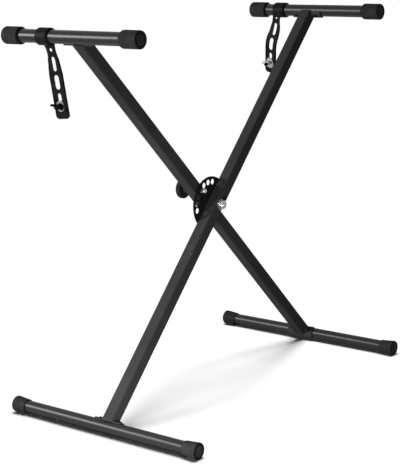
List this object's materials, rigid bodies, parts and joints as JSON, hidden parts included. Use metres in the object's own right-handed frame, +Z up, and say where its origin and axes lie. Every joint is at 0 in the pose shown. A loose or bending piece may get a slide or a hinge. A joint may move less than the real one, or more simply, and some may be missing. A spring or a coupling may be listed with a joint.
{
  "type": "folding keyboard stand",
  "caption": "X-shaped folding stand of black square tube, with a locking plate and pull pin at the pivot, rubber-capped foot and top tubes, and hanging slotted straps.",
  "frame": {"origin": "on the floor, midway between the feet, under the pivot bolt", "axes": "+Z up; +X across the opening of the legs, towards the near leg's top; +Y along the round tubes, from the lock nut towards the pull knob"},
  "size_m": [0.7404, 0.4684, 0.7617],
  "materials": {
    "black_paint": "satin black powder coat",
    "cap_rubber": "moulded matt black",
    "strap_rubber": "moulded satin black",
    "knob_plastic": "moulded matt black",
    "zinc_plate": "bright zinc plate",
    "black_hardware": "black oxide",
    "spring_steel": "drawn wire",
    "spacer_nylon": "natural nylon",
    "bush_steel": "turned"
  },
  "bodies": {
    "near_leg": {"near_foot_cap_front": "cap_rubber", "near_foot_cap_rear": "cap_rubber", "near_foot_saddle": "black_paint", "near_foot_screws": "black_hardware", "near_foot_tube": "black_paint", "near_leg_tube": "black_paint", "near_pivot_bush": "bush_steel", "near_top_cap_front": "cap_rubber", "near_top_cap_rear": "cap_rubber", "near_top_saddle": "black_paint", "near_top_screws": "black_hardware", "near_top_tube": "black_paint", "locking_plate": "black_paint", "pivot_bolt": "zinc_plate", "pivot_lock_nut": "zinc_plate", "nut_washer": "zinc_plate", "head_washer": "zinc_plate", "pivot_spacer": "spacer_nylon"},
    "far_leg": {"far_foot_cap_front": "cap_rubber", "far_foot_cap_rear": "cap_rubber", "far_foot_saddle": "black_paint", "far_foot_screws": "black_hardware", "far_foot_tube": "black_paint", "far_leg_tube": "black_paint", "far_pivot_bush": "bush_steel", "far_top_cap_front": "cap_rubber", "far_top_cap_rear": "cap_rubber", "far_top_saddle": "black_paint", "far_top_screws": "black_hardware", "far_top_tube": "black_paint", "pin_sleeve": "black_paint", "pin_spring": "spring_steel"},
    "pull_pin": {"locking_pin": "zinc_plate", "pull_knob": "knob_plastic"},
    "left_strap": {"left_strap": "strap_rubber"},
    "left_strap_bolt": {"left_strap_bolt": "black_hardware", "left_strap_washer": "zinc_plate", "left_nut_washer": "zinc_plate"},
    "left_wing_nut": {"left_wing_nut": "black_hardware"},
    "right_strap": {"right_strap": "strap_rubber"},
    "right_strap_bolt": {"right_strap_bolt": "black_hardware", "right_strap_washer": "zinc_plate", "right_nut_washer": "zinc_plate"},
    "right_wing_nut": {"right_wing_nut": "zinc_plate"}
  },
  "joints": [
    {"name": "fold", "type": "hinge", "parent": "near_leg", "child": "far_leg", "pos_m": [0, 0, 0.38183], "axis": [0, 1, 0], "range_deg": [-56.1, 82.7], "deforming": ["locking_pin"]},
    {"name": "pin_pull", "type": "slide", "parent": "far_leg", "child": "pull_pin", "axis": [0, 1, 0], "range_m": [0, 0.016], "stiffness_N_per_m": 900, "springref_m": -0.009, "deforming": ["pin_spring"]},
    {"name": "left_strap_swing", "type": "hinge", "parent": "far_leg", "child": "left_strap", "pos_m": [-0.35213, 0.093, 0.7452], "axis": [0, 1, 0], "range_deg": [-45, 45]},
    {"name": "left_bolt_slide", "type": "slide", "parent": "left_strap", "child": "left_strap_bolt", "axis": [-0.0785, 0.0869, 0.9931], "range_m": [0, 0.019]},
    {"name": "left_wing_nut_turn", "type": "hinge", "parent": "left_strap_bolt", "child": "left_wing_nut", "pos_m": [-0.33247, 0.08175, 0.61662], "axis": [0.9969, 0.0068, 0.0782], "continuous": true},
    {"name": "right_strap_swing", "type": "hinge", "parent": "near_leg", "child": "right_strap", "pos_m": [0.35213, 0.0575, 0.7452], "axis": [0, 1, 0], "range_deg": [-45, 45]},
    {"name": "right_bolt_slide", "type": "slide", "parent": "right_strap", "child": "right_strap_bolt", "axis": [-0.2253, -0.1834, 0.9569], "range_m": [0, 0.019]},
    {"name": "right_wing_nut_turn", "type": "hinge", "parent": "right_strap_bolt", "child": "right_wing_nut", "pos_m": [0.34819, 0.08633, 0.62937], "axis": [0.9531, -0.2454, 0.1774], "continuous": true}
  ]
}
